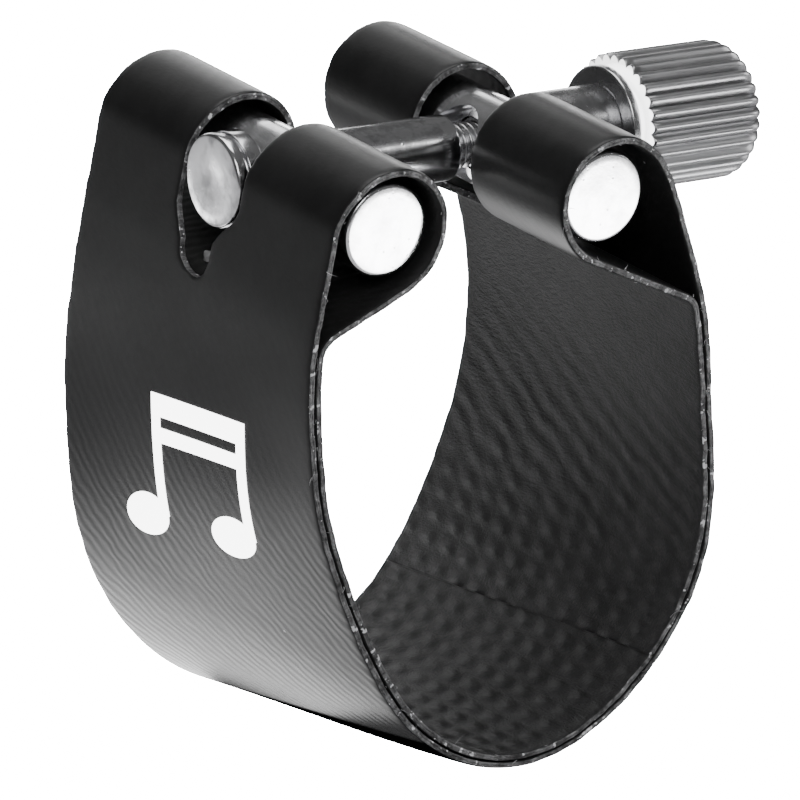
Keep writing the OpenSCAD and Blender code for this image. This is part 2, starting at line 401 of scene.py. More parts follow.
def make_cut_material():
    """Cut edge of the two bonded cloths: grey fibres along the cut, dark gaps, and painted glints: bright
    specks in the colour.
    """
    material, tree, shader, place = new_material("strap_cut_edge")
    strip_mm = strip_place(tree)
    threads = noise(tree, stretched(tree, strip_mm, (0.7, 6.0, 1.0)), 2.2, 5.0, 0.7, 0.6)
    clumps = noise(tree, place, 900.0, 4.0, 0.65)
    both = maths(tree, "MULTIPLY", threads, clumps)
    colour = mixed(tree, ramp(tree, both, 0.14, 0.42), grey(0.010), grey(0.26))
    # painted glints: near-white specks in the colour that stand for highlights on the edge
    glints = ramp(tree, noise(tree, place, 1500.0, 2.0, 0.7), 0.61, 0.65)
    colour = mixed(tree, glints, colour, grey(0.9))
    tree.links.new(colour, shader.inputs["Base Color"])
    tree.links.new(ramp(tree, clumps, 0.35, 0.65, 0.62, 0.28), shader.inputs["Roughness"])
    shader.inputs["Coat Weight"].default_value = 0.15
    shader.inputs["Coat Roughness"].default_value = 0.2
    use_bump(tree, shader, maths(tree, "ADD", threads, clumps), 0.16)
    return material


def make_metal(name, tone, rough, spread, stretch, lines_mm=0.004, stain=0.25, pits=0.0, lines=2500.0):
    """Bright metal: lines along one way, cloudy stains in tone and roughness, and pits."""
    material, tree, shader, place = new_material(name)
    finish = use_group(tree, FINISH, {"Place": place, "Stretch": stretch, "Lines": lines,
                                      "Stain scale": 750.0})
    colour = mixed(tree, maths(tree, "MULTIPLY", finish["Stains"], stain), grey(tone), grey(tone * 0.45))
    if pits:
        colour = mixed(tree, maths(tree, "MULTIPLY", finish["Pits"], pits), colour, grey(tone * 0.25))
    tree.links.new(colour, shader.inputs["Base Color"])
    wear = maths(tree, "MULTIPLY", finish["Lines"], spread)
    wear = maths(tree, "ADD", wear, maths(tree, "MULTIPLY", finish["Stains"], spread * 0.6))
    tree.links.new(maths(tree, "ADD", wear, rough, clamp=True), shader.inputs["Roughness"])
    shader.inputs["Metallic"].default_value = 1.0
    use_bump(tree, shader, maths(tree, "SUBTRACT", finish["Lines"], finish["Pits"]), lines_mm)
    return material


def make_print_material():
    """White pad print with a faint grain, and a painted glow that lifts it to an overexposed white."""
    material, tree, shader, place = new_material("white_print")
    speck = ramp(tree, noise(tree, place, 2500.0, 3.0, 0.6), 0.35, 0.6)
    tree.links.new(mixed(tree, speck, grey(0.8), grey(0.92)), shader.inputs["Base Color"])
    shader.inputs["Roughness"].default_value = 0.45
    paint_glow(shader, PRINT_PAINTED_GLOW)
    use_bump(tree, shader, speck, 0.006)
    return material


def make_fibre_material():
    """Undyed thread, from grey to nearly white."""
    material, tree, shader, place = new_material("loose_thread")
    tone = noise(tree, place, 300.0, 2.0)
    tree.links.new(mixed(tree, ramp(tree, tone, 0.35, 0.65), grey(0.25), grey(0.8)),
                   shader.inputs["Base Color"])
    shader.inputs["Roughness"].default_value = 0.5
    return material


def paint_underside_shade(material):
    """Painted shade: leaves the face matt black under the belly, where the strap turns into its own shade.
    Below the slanting line z + 0.2 y = -19.8 mm, on the left half, a black shader without shine takes over."""
    tree = material.node_tree
    place = tree.nodes.new("ShaderNodeTexCoord").outputs["Object"]
    axes = node(tree, "ShaderNodeSeparateXYZ", {0: place}).outputs
    line = maths(tree, "ADD", maths(tree, "MULTIPLY_ADD", axes[1], 0.2, 0.0198), axes[2])
    shade_mask = maths(tree, "MULTIPLY", ramp(tree, line, -0.0002, 0.0002, 1.0, 0.0),
                 ramp(tree, axes[0], 0.004, 0.007, 1.0, 0.0))
    shade_black = node(tree, "ShaderNodeBsdfPrincipled", {"Base Color": grey(0.004), "Roughness": 1.0,
                                                   "Specular IOR Level": 0.0})
    both = node(tree, "ShaderNodeMixShader", {0: shade_mask, 1: tree.nodes["Principled BSDF"].outputs[0],
                                              2: shade_black.outputs[0]})
    tree.links.new(both.outputs[0], tree.nodes["Material Output"].inputs["Surface"])


STRAP_FACE = make_strap_material("strap_satin_rib", 0.86, 1.7, 52.0, 0.30, 0.030, 0.013, 0.37, 0.03)
# painted shade under the belly of the strap's face
paint_underside_shade(STRAP_FACE)
STRAP_LINING = make_strap_material("strap_waffle", 1.5, 1.5, 27.0, 0.97, 0.44, 0.033, 0.44, 0.03)
STRAP_BACK = make_strap_material("strap_back", 0.78, 1.5, 52.0, 0.3, 0.04, 0.010, 0.6, 0.5)
CUT_EDGE = make_cut_material()
BAR_METAL = make_metal("bar_polished_steel", 0.88, 0.10, 0.10, (1.0, 0.06, 1.0), stain=0.2, pits=0.7)
SLEEVE_METAL = make_metal("sleeve_bright_nickel", 0.82, 0.10, 0.10, (0.05, 1.0, 1.0), stain=0.95)
SCREW_METAL = make_metal("screw_turned_steel", 0.45, 0.16, 0.14, (1.0, 0.2, 0.2), stain=0.3)
FLANGE_METAL = make_metal("flange_turned_nickel", 0.5, 0.16, 0.12, (1.0, 0.3, 0.3), stain=0.2)
# the knob's end face: brighter, smoother metal than its ridged side, with a painted glow that makes it
# overexposed white
KNOB_FACE = make_metal("knob_end_face", 0.95, 0.08, 0.05, (1.0, 1.0, 1.0), stain=0.1)
paint_glow(KNOB_FACE.node_tree.nodes["Principled BSDF"], KNOB_FACE_PAINTED_GLOW)
KNOB_METAL = make_metal("knob_satin_nickel", 0.33, 0.27, 0.12, (0.12, 1.0, 1.0), 0.003, 0.1, 0.0, 1800.0)
PRINT = make_print_material()
FIBRE = make_fibre_material()


# ---------------------------------------------------------------- the strap's course
PLY = 0.55                      # thickness of the cloth
GLUE = 0.02                     # between the outer ply and the lining
LEAN = 3.8                      # how far the bottom lies towards the screw
LEAN_TOP = BAR_Z + BAR_R / 2
HALF_WIDTH = 16.2               # from the middle to the outer face, at the height of WIDEST_Z
WIDEST_Z = 1.5
LOOP_TAIL = 246                 # heading of a loop's last stretch, back towards the wall
NOTCH_HALF = 3.3
NOTCH_DEPTH = 6.2               # from the bar's middle down to the notch's foot
NOTCH_ROUND = 1.5               # length of the notch's rounded end
NOTCH_FEET = {-1: (1.2, 2.2), 1: (2.05, 1.2)}   # front, rear: half width at the foot, where it widens
JOINT_X = 11.0                  # where the lining's two ends meet, low on the right
JOINT_GAP = 0.006
LINING_FACE = 2 * PLY + GLUE    # the lining's visible face, from the outer face


def arc(start, radius, first, last, count=120):
    """Points after start on an arc. A heading is measured from +Z towards the middle; at heading h the
    arc has moved by radius times (cos h - cos first, sin h - sin first)."""
    h = np.radians(np.linspace(first, last, count + 1)[1:])
    a = math.radians(first)
    return start + radius * np.stack([np.cos(h) - math.cos(a), np.sin(h) - math.sin(a)], -1)


def straight(start, heading, length, count=60):
    """Points after start on a straight line at a heading."""
    h = math.radians(heading)
    step = np.linspace(0, length, count + 1)[1:, None]
    return start + step * np.array([-math.sin(h), math.cos(h)])


def lean_at(z):
    """How far the slack strap leans at a height: a quarter sine from LEAN_TOP down to the bottom."""
    t = np.clip((LEAN_TOP - z) / (LEAN_TOP - BOTTOM_Z), 0, 1)
    return LEAN * np.sin(0.5 * math.pi * t)


def turned_in(path, distance):
    """A path moved sideways along its left normal, which is (-dz, dx) over its length."""
    d = np.gradient(path, axis=0)
    d /= np.linalg.norm(d, axis=1)[:, None]
    return path + distance * np.stack([-d[:, 1], d[:, 0]], -1)


def outer_side(side):
    """The outer face of one side from the bottom over the bar's top, as (x, z): half an ellipse, then a
    long flat arc, a straight stretch, the shoulder and the crown. It leans towards the screw."""
    a = np.linspace(0, 0.5 * math.pi, 240)
    belly = np.stack([HALF_WIDTH * np.sin(a), WIDEST_Z - (WIDEST_Z - BOTTOM_Z) * np.cos(a)], -1)
    wall = np.concatenate([belly, arc(belly[-1], 42.0, 0, 16)])
    path = np.concatenate([wall, straight(wall[-1], 16, 5.1)])
    path = np.concatenate([path, arc(path[-1], 5.4, 16, 60)])   # the shoulder
    path = np.concatenate([path, arc(path[-1], 4.4, 60, 90)])   # the crown
    return np.stack([MID_X + side * path[:, 0] + lean_at(path[:, 1]), path[:, 1]], -1), path[-1]


def strap_course():
    """The visible face of the whole strip as one path of (x, z), with even spacing. It starts where the
    lining's ends meet, runs along the lining, over the left bar, round the outside, over the right bar
    and back along the lining."""
    left, _ = outer_side(-1)
    right, crown_end = outer_side(1)
    outer = np.concatenate([left[::-1], right[1:]])
    lining = turned_in(outer, LINING_FACE)
    halves = []
    for side in (-1, 1):
        loop = arc(crown_end, 4.1, 90, 180)
        loop = np.concatenate([loop, arc(loop[-1], 4.6, 180, LOOP_TAIL)])
        inner = lining[lining[:, 0] < MID_X] if side < 0 else lining[lining[:, 0] > MID_X]
        inner = inner[inner[:, 1] > WIDEST_Z]
        inner = inner[np.argsort(inner[:, 1])]
        bend_r, run, wall_heading = -1.2, 4.0, 190.0   # the bend turns the other way, into the wall
        for _ in range(4):      # the run grows until the bend ends on the lining
            end = arc(straight(loop[-1], LOOP_TAIL, run)[-1], bend_r, LOOP_TAIL, wall_heading)[-1]
            at = side * (np.interp(end[1], inner[:, 1], inner[:, 0]) - MID_X)
            run += (at - end[0]) / math.sin(math.radians(LOOP_TAIL - 180))
            above = side * (np.interp(end[1] + 1, inner[:, 1], inner[:, 0]) - MID_X)
            wall_heading = 180 + math.degrees(math.atan(at - above))
        path = np.concatenate([loop, straight(loop[-1], LOOP_TAIL, run)])
        path = np.concatenate([path, arc(path[-1], bend_r, LOOP_TAIL, wall_heading)])
        halves.append((np.stack([MID_X + side * path[:, 0], path[:, 1]], -1), path[-1][1]))
    joint = int(np.argmin(np.abs(lining[:, 0] - JOINT_X) + 100 * (lining[:, 1] > WIDEST_Z)))
    first = int(np.argmax(lining[:, 1] < halves[0][1] - 0.05))
    last = len(lining) - 1 - int(np.argmax(lining[::-1, 1] < halves[1][1] - 0.05))
    left_lining, right_lining = lining[first:joint + 1], lining[joint:last + 1]
    path = np.concatenate([left_lining[::-1], halves[0][0][::-1], outer, halves[1][0],
                           right_lining[::-1]])
    gaps = np.linalg.norm(np.diff(path, axis=0), axis=1)
    path = path[np.concatenate([[True], gaps > 1e-6])]
    length = np.concatenate([[0], np.cumsum(np.linalg.norm(np.diff(path, axis=0), axis=1))])
    even = np.arange(JOINT_GAP / 2, length[-1] - JOINT_GAP / 2, 0.04)
    path = np.stack([np.interp(even, length, path[:, c]) for c in (0, 1)], -1)
    soft = np.hanning(15)
    soft /= soft.sum()
    padded = np.pad(path, ((7, 7), (0, 0)), mode="reflect", reflect_type="odd")
    path = np.stack([np.convolve(padded[:, c], soft, "valid") for c in (0, 1)], -1)
    return path, even


COURSE, COURSE_S = strap_course()


# ---------------------------------------------------------------- the strap's surface
def smoothstep(t):
    """Rises smoothly from 0 to 1 as t does."""
    t = np.clip(t, 0, 1)
    return t * t * (3 - 2 * t)


def waves(a, lengths, seed):
    """Smooth noise from -1 to 1 over a: a sum of sines with the given wavelengths and seeded phases."""
    phases = np.random.default_rng(seed).uniform(0, 2 * math.pi, len(lengths))
    return sum(np.sin(2 * math.pi * a / w + p) for w, p in zip(lengths, phases)) / len(lengths)


def settled(points):
    """The slack strap's set: a smooth shift of space that leaves the loops alone. Towards the rear the
    belly grows wider and deeper and leans less, and all of it is slightly uneven."""
    x, y, z = points[..., 0], points[..., 1], points[..., 2]
    v = y / HALF_LEN
    low = smoothstep((8 - z) / 22)
    body = smoothstep((12 - z) / 11)
    centre = MID_X + lean_at(z)
    new_x = x + (x - centre) * 0.031 * v * body - 1.4 * v * low
    new_z = z + 0.078 * v * np.minimum(z - WIDEST_Z, 0)
    uneven = 0.10 * np.sin(z / 3.1 + y / 6.0 + 0.4) + 0.08 * np.sin(z / 5.3 - y / 4.1 + x / 9.0)
    new_x = new_x + uneven * body
    new_z = new_z + 0.08 * np.sin(x / 3.4 + y / 5.2) * body
    return np.stack([new_x, y, new_z], -1)


def course_at(s):
    """Point and left normal of the strap's course at lengths s."""
    at = np.stack([np.interp(s, COURSE_S, COURSE[:, c]) for c in (0, 1)], -1)
    way = np.gradient(COURSE, axis=0)
    way /= np.linalg.norm(way, axis=1)[:, None]
    normal = np.stack([-way[:, 1], way[:, 0]], -1)
    normal = np.stack([np.interp(s, COURSE_S, normal[:, c]) for c in (0, 1)], -1)
    return at, normal / np.linalg.norm(normal, axis=1)[:, None]


def notch_spans():
    """Lengths at which the course enters and leaves the notch of each side."""
    above = COURSE[:, 1] > BAR_Z - NOTCH_DEPTH
    change = np.nonzero(np.diff(above.astype(int)))[0]
    return COURSE_S[change].reshape(2, 2)


NOTCHES = notch_spans()
BELLY_S = COURSE_S[int(np.argmin(COURSE[:, 1]))]
OUTER_S = (NOTCHES[0][1] - 2, NOTCHES[1][0] + 2)


def notch_half_width(s, side):
    """Half of the notch's width: rounded ends that widen by a smooth step towards the bar."""
    depth = np.maximum(np.minimum(s - NOTCHES[0][0], NOTCHES[0][1] - s),
                       np.minimum(s - NOTCHES[1][0], NOTCHES[1][1] - s))
    end = np.sqrt(1 - (1 - np.clip(depth / NOTCH_ROUND, 0, 1)) ** 2)
    foot, rise = NOTCH_FEET[side]
    return end * (foot + (NOTCH_HALF - foot) * smoothstep((depth - rise) / 3.1))


def row_lengths():
    """Where the strap's rows lie: closer together where the course bends and at the notches' ends."""
    way = np.gradient(COURSE, axis=0)
    turn = np.abs(np.gradient(np.unwrap(np.arctan2(way[:, 1], way[:, 0])), COURSE_S))
    spacing = np.clip(0.05 / (turn + 1e-6), 0.2, 0.45)
    for end in NOTCHES.ravel():
        spacing = np.where(np.abs(COURSE_S - end) < 2.9, np.minimum(spacing, 0.14), spacing)
    spacing = np.convolve(np.pad(spacing, 10, mode="edge"), np.ones(21) / 21, "valid")
    count = np.concatenate([[0], np.cumsum(np.diff(COURSE_S) / spacing[1:])])
    rows = np.interp(np.arange(int(count[-1]) + 1) * count[-1] / int(count[-1]), count, COURSE_S)
    ends = np.searchsorted(rows, NOTCHES.ravel())
    rows[ends] = NOTCHES.ravel()
    return rows


# places across half a strap from its rim to the middle, and through its thickness
ACROSS = np.concatenate([[0, 0.005, 0.013, 0.03], np.linspace(0.07, 0.93, 13), [0.97, 0.987, 0.995, 1]])
EDGE_STEPS = np.array([0.2, 0.42, 0.5, 0.58, 0.8])


def half_strap(rows, side):
    """One half of the strip, cut along its middle, as closed rings of points: the visible face from the
    cut edge to the middle, the notch's edge, the other face back out, and the cut edge. Returns the
    points, what each face of a ring is (0 face, 1 other face, 2 cut, 3 notch) and the notch's half width."""
    at, normal = course_at(rows)
    half = notch_half_width(rows, side)
    wander = 0.07 * waves(rows, (9.0, 4.3, 2.1), 3 + side) + 0.03 * waves(rows, (1.1, 0.62, 0.4), 7 + side)
    rim = HALF_LEN + wander
    frayed = 0.045 * waves(rows, (1.3, 0.8, 0.47), 13 + side)
    inner = half + np.where(half > 0, frayed * np.minimum(half, 1), 0)
    y = side * (rim[:, None] + (inner - rim)[:, None] * ACROSS[None, :])
    from_rim = (rim - inner)[:, None] * ACROSS[None, :]
    from_notch = np.where(half[:, None] > 0, (rim - inner)[:, None] * (1 - ACROSS[None, :]), 9)
    press = 0.07 * np.exp(-from_rim / 0.09) + 0.07 * np.exp(-from_notch / 0.09)
    press = press + 0.02 * np.exp(-from_rim / 0.5)

    def raised(depth, ys):
        """Points at a depth inside the visible face, at each row and at places ys across."""
        points = at[:, None, :] + normal[:, None, :] * depth[..., None]
        return np.stack([points[..., 0], ys, points[..., 1]], -1)

    face = raised(press, y)
    other = raised(PLY - press, y)[:, ::-1]
    lump = 0.05 + 0.05 * waves(rows[:, None] + 3.3 * EDGE_STEPS[None, :], (1.9, 0.9, 0.5), 21 + side)
    crease = np.where(np.abs(EDGE_STEPS - 0.5) < 0.01, -0.05, 0.0)[None, :]
    bulge = lump * np.sin(math.pi * EDGE_STEPS)[None, :] + crease
    steps = np.broadcast_to(0.09 + (PLY - 0.18) * EDGE_STEPS, bulge.shape)
    notch_y = side * (inner[:, None] - np.where(half[:, None] > 0, bulge, 0))
    notch = raised(steps, notch_y)
    edge = raised(steps, side * (rim[:, None] + bulge))[:, ::-1]
    points = np.concatenate([face, notch, other, edge], 1)
    n, m = len(ACROSS), len(EDGE_STEPS)
    kinds = np.array([0] * (n - 1) + [3] * (m + 1) + [1] * (n - 1) + [2] * (m + 1))
    return points, kinds, half


def make_strap():
    """The folded strip: both halves as rings carried along the course, then settled. The notch's edge is
    left out where there is no notch, and the halves are merged along the middle."""
    rows = row_lengths()
    count = 2 * (len(ACROSS) + len(EDGE_STEPS))
    all_points, all_faces, all_kinds, all_s = [], [], [], []
    for index, side in enumerate((-1, 1)):
        points, kinds, half = half_strap(rows, side)
        faces = grid_faces(len(rows), count, close_cols=True, start=index * points[..., 0].size)
        kind = np.tile(kinds, len(rows) - 1)
        open_here = np.repeat((half[:-1] > 0) | (half[1:] > 0), count)
        keep = (kind != 3) | open_here
        all_points.append(settled(points).reshape(-1, 3))
        all_faces.append(faces[keep])
        all_kinds.append(kind[keep])
        all_s.append(np.stack([np.repeat(rows, count), points[..., 1].ravel()], -1))
    points, faces = np.concatenate(all_points), np.concatenate(all_faces)
    kinds, strip = np.concatenate(all_kinds), np.concatenate(all_s)
    piece = put_mesh("strap_folded", points, faces, [STRAP_FACE, STRAP_LINING, STRAP_BACK, CUT_EDGE])
    mid_s = strip[faces][:, :, 0].mean(1)
    lining = (mid_s < NOTCHES[0][0] - 0.3) | (mid_s > NOTCHES[1][1] + 0.3)
    slot = np.select([kinds == 0, kinds == 1], [np.where(lining, 1, 0), 2], 3)
    piece.data.polygons.foreach_set("material_index", slot.astype(np.int32))
    layer = piece.data.uv_layers.new(name="strip")
    layer.data.foreach_set("uv", (strip[faces.ravel()] / STRIP_UNIT).ravel())
    merge(piece, 2e-3)
    close_holes(piece)
    return piece


def on_strap(s, y, lift):
    """Points that stand a lift off the strap's visible face, at length s and place y."""
    at, normal = course_at(s.ravel())
    points = at - normal * np.broadcast_to(lift, s.shape).ravel()[:, None]
    return settled(np.stack([points[:, 0], y.ravel(), points[:, 1]], -1)).reshape(*s.shape, 3)


strap = make_strap()
strap_points = np.zeros(3 * len(strap.data.vertices))
strap.data.vertices.foreach_get("co", strap_points)
FLOOR_Z = strap_points[2::3].min() / MM


# ---------------------------------------------------------------- printed mark and loose fibres
def make_mark():
    """Two notes under a beam, as a thin print on the left wall. Each part is a patch over two parameters:
    heads are discs of r and t stretched and turned, stems and beams are slanted strips."""
    wall = (COURSE_S < BELLY_S) & (COURSE_S > OUTER_S[0])
    middle = np.interp(2.0, -COURSE[wall, 1], COURSE_S[wall])
    patches = []
    for x, y in ((-4.1, -4.5), (4.2, -3.4)):                              # heads
        around = np.linspace(0, 2 * math.pi, 40, endpoint=False)
        r, t = np.meshgrid(np.linspace(0, 1, 9), around, indexing="ij")
        a, b = 2.15 * r * np.cos(t), 1.5 * r * np.sin(t)
        c, d = math.cos(0.42), math.sin(0.42)
        patches.append((x + a * c - b * d, y + a * d + b * c, True))
    slope = 1.1 / 8.3
    for x, low, high in ((-2.35, -4.1, 4.3), (5.95, -3.0, 5.4)):          # stems
        u, v = np.meshgrid([-0.42, 0.0, 0.42], np.linspace(low, high, 28), indexing="ij")
        patches.append((x + u, v + slope * u, False))
    for top, thick in ((4.5, 1.55), (2.2, 1.05)):                         # beams
        u, v = np.meshgrid(np.linspace(-2.77, 6.37, 30), np.linspace(-thick, 0, 5), indexing="ij")
        patches.append((u, top + v + slope * (u + 2.35), False))
    points, faces, start = [], [], 0
    for number, (a, b, disc) in enumerate(patches):
        lift = np.full(a.shape, 0.030 + 0.002 * number)
        points.append(on_strap(middle - b, 0.6 - a * 1.08, lift).reshape(-1, 3))
        faces.append(grid_faces(*a.shape, close_cols=disc, start=start))
        start += a.size
    piece = put_mesh("printed_mark", np.concatenate(points), np.concatenate(faces), [PRINT])
    merge(piece, 1e-3)
    normals = np.zeros(3 * len(piece.data.polygons))
    piece.data.polygons.foreach_get("normal", normals)
    if normals[::3].mean() > 0:
        piece.data.flip_normals()
    solid = piece.modifiers.new("thickness", "SOLIDIFY")
    solid.thickness = 0.05 * MM
    solid.offset = -1
    return piece


def make_fibres(count=70):
    """Loose ends of thread along the cut edges: each is a three-sided tube along a curve that bends by
    the square of its length and thins to its tip."""
    random = np.random.default_rng(5)
    side = np.where(random.random(count) < 0.8, -1.0, 1.0)
    s = random.uniform(COURSE_S[0] + 1, COURSE_S[-1] - 1, count)
    at, normal = course_at(s)
    depth = random.choice([0.03, PLY - 0.03], count)
    way = np.stack([normal[:, 1], np.zeros(count), -normal[:, 0]], -1)
    out = np.stack([-normal[:, 0], np.zeros(count), -normal[:, 1]], -1)
    out *= np.where(depth < 0.1, 1.0, -1.0)[:, None]
    root = np.stack([at[:, 0] + normal[:, 0] * depth, side * HALF_LEN, at[:, 1] + normal[:, 1] * depth], -1)
    aim = side[:, None] * np.array([0, 1.0, 0]) * random.uniform(0.1, 0.8, (count, 1))
    aim = aim + way * random.uniform(-1, 1, (count, 1)) + out * random.uniform(0, 0.35, (count, 1))
    aim /= np.linalg.norm(aim, axis=1)[:, None]
    curl = random.normal(0, 0.35, (count, 3))
    reach = random.gamma(2.0, 0.17, count) + 0.12
    t = np.linspace(0, 1, 6)
    line = root[:, None] + reach[:, None, None] * (aim[:, None] * t[None, :, None]
                                                   + curl[:, None] * t[None, :, None] ** 2)
    radius = random.uniform(0.012, 0.026, count)[:, None] * (1 - 0.8 * t[None, :])
    angle = np.linspace(0, 2 * math.pi, 3, endpoint=False)
    first = np.cross(aim, [0.3, 0.2, 0.93])
    first /= np.linalg.norm(first, axis=1)[:, None]
    second = np.cross(aim, first)
    ring = (first[:, None, None] * np.cos(angle)[None, None, :, None]
            + second[:, None, None] * np.sin(angle)[None, None, :, None])
    points = line[:, :, None] + ring * radius[:, :, None, None]
    one = grid_faces(6, 3, close_cols=True)
    faces = (one[None] + 18 * np.arange(count)[:, None, None]).reshape(-1, 4)
    piece = put_mesh("edge_fibres", settled(points).reshape(-1, 3), faces, [FIBRE])
    close_holes(piece)
    return piece


def make_glue_bead():
    """A bead of adhesive at the foot of the left notch: a ball flattened along X, whose radius is
    multiplied by 1 + 0.3 sin(3 t + 5 x) cos t."""
    place = settled(np.array([[LEFT_X - BAR_R - 0.65, 1.2, BAR_Z - NOTCH_DEPTH + 0.6]]))[0]
    angles = np.linspace(0, math.pi, 13)
    profile = [(-0.34 * math.cos(a), 0.48 * math.sin(a)) for a in angles]
    return turned("glue_bead", profile, "X", place, [FIBRE], turns=30,
                  ripple=lambda along, radius, t: 1 + 0.3 * np.sin(3 * t + 5 * along) * np.cos(t))


bead = make_glue_bead()
mark = make_mark()
fibres = make_fibres()


# ---------------------------------------------------------------- turned metal parts
BAR_CENTRE_L = np.array([LEFT_X, 0, BAR_Z])
BAR_CENTRE_R = np.array([RIGHT_X, 0, BAR_Z])
AXIS = np.array([0, 0, BAR_Z])
SLEEVE_R = 2.15
SLEEVE_BORE_R = 1.55
HEAD_R = 3.0
SEAT_DEPTH = 0.5
JOURNAL_R = 1.7
COUNTERBORE_R = 2.5
COUNTERBORE_X = SLEEVE[1][0] + 2.3
BOSS_X = RIGHT_X + BAR_R + 0.05
BOSS_R = 2.7
THREAD_PITCH, THREAD_ROOT_R, THREAD_HEIGHT = 0.5, 1.22, 0.26
KNOB_COLLAR, KNOB_SHORTER = 0.48, 0.6   # from the CAD knob's start to its ridges, and off its end
RIDGES, RIDGE_DEPTH = 30, 0.42


def cutter(profile):
    """A turned body about the screw's axis, for cutting a bar's cross hole."""
    return turned("cutter", profile, "X", AXIS, [], turns=72)


def make_bar(name, box, centre):
    """A round bar with softened, slightly domed ends."""
    low, high = box[0][1], box[1][1]
    corners = [(low, 0), (low + 0.03, BAR_R * 0.6), (low + 0.05, BAR_R), (high - 0.05, BAR_R),
               (high - 0.03, BAR_R * 0.6), (high, 0)]
    return turned(name, rounded(corners, (0.5, 0.28, 0.28, 0.5)), "Y", centre, [BAR_METAL], turns=128)


left_bar = make_bar("bar_left_turned", LEFT_BAR, BAR_CENTRE_L)
seat_x = LEFT_X - BAR_R + SEAT_DEPTH
cut(left_bar, cutter([(LEFT_X - 2 * BAR_R, 0), (LEFT_X - 2 * BAR_R, HEAD_R + 0.03), (seat_x, HEAD_R + 0.03),
                      (seat_x, SLEEVE_R + 0.03), (LEFT_X + 2 * BAR_R, SLEEVE_R + 0.03),
                      (LEFT_X + 2 * BAR_R, 0)]))
right_bar = make_bar("bar_right_turned", RIGHT_BAR, BAR_CENTRE_R)
cut(right_bar, cutter([(RIGHT_X - 2 * BAR_R, 0), (RIGHT_X - 2 * BAR_R, COUNTERBORE_R + 0.05),
                       (COUNTERBORE_X, COUNTERBORE_R), (COUNTERBORE_X, JOURNAL_R + 0.05),
                       (RIGHT_X + 2 * BAR_R, JOURNAL_R + 0.05), (RIGHT_X + 2 * BAR_R, 0)]))

x0, x1 = SLEEVE[0][0], SLEEVE[1][0]
head_end = seat_x - 0.03
groove = x0 + 0.8
sleeve = turned("sleeve_nut_turned", rounded(
    [(x0 + 0.06, 0), (x0, HEAD_R * 0.5), (x0, HEAD_R), (groove, HEAD_R), (groove, HEAD_R - 0.3),
     (groove + 0.25, HEAD_R - 0.3), (groove + 0.25, HEAD_R), (head_end, HEAD_R), (head_end, SLEEVE_R),
     (x1, SLEEVE_R), (x1, SLEEVE_BORE_R), (x0 + 1.5, SLEEVE_BORE_R), (x0 + 1.9, 0)],
    (0.6, 0.28, 0.06, 0.06, 0.06, 0.06, 0.05, 0.05, 0.22, 0.12, 0.1)), "X", AXIS, [SLEEVE_METAL], turns=128)


def make_thread():
    """The threaded shank: at length x and angle t the radius is the root plus the thread's height times a
    clipped triangle wave of x / pitch - t / 2 pi. All of it narrows towards the tip."""
    start, end = SHANK[0][0], COUNTERBORE_X + 0.15
    x = np.linspace(start, end, int((end - start) / 0.055))
    t = np.linspace(0, 2 * math.pi, 36, endpoint=False)
    phase = x[:, None] / THREAD_PITCH - t[None, :] / (2 * math.pi)
    crest = np.clip(1.35 * (1 - np.abs(2 * (phase % 1) - 1)) - 0.15, 0, 1)
    fade = smoothstep((x - start) / 0.5)[:, None]
    radius = (THREAD_ROOT_R + THREAD_HEIGHT * crest) * (0.72 + 0.28 * fade)
    points = np.stack([np.broadcast_to(x[:, None], radius.shape), radius * np.cos(t), radius * np.sin(t)], -1)
    points = points.reshape(-1, 3)
    tips = np.array([[start, 0, 0], [end, 0, 0]])
    n, m, total = len(x), len(t), len(points)
    k = np.arange(m)
    first = np.stack([np.full(m, total), (k + 1) % m, k, k], -1)
    last = np.stack([np.full(m, total + 1), (n - 1) * m + k, (n - 1) * m + (k + 1) % m,
                     (n - 1) * m + (k + 1) % m], -1)
    faces = np.concatenate([grid_faces(n, m, close_cols=True), first, last])
    faces = [f[:3] if f[2] == f[3] else f for f in faces.tolist()]
    piece = put_mesh("screw_thread", np.concatenate([points, tips]) + AXIS, faces, [SCREW_METAL])
    merge(piece, 1e-3, outwards=True)
    smooth_by_angle(piece, 50)
    return piece


thread = make_thread()
flange_x = FLANGE[0][0]
journal = turned("screw_boss", rounded(
    [(COUNTERBORE_X + 0.05, 0), (COUNTERBORE_X + 0.05, JOURNAL_R), (BOSS_X, JOURNAL_R), (BOSS_X, BOSS_R),
     (flange_x, BOSS_R), (flange_x, 1.5), (SHANK[1][0], 1.5), (SHANK[1][0], 0)],
    (0.2, 0.05, 0.25, 0.12, 0.05, 0.1)), "X", AXIS, [SCREW_METAL], turns=96)
f0, f1, fr = FLANGE[0][0], FLANGE[1][0], (FLANGE[1][2] - FLANGE[0][2]) / 2
flange = turned("thrust_flange_turned", rounded(
    [(f0, 0), (f0, fr), (f1, fr), (f1, 3.1), (f1 - 0.08, 3.0), (f1 - 0.08, 0)],
    (0.18, 0.22, 0.05, 0.05)), "X", AXIS, [FLANGE_METAL], turns=128)


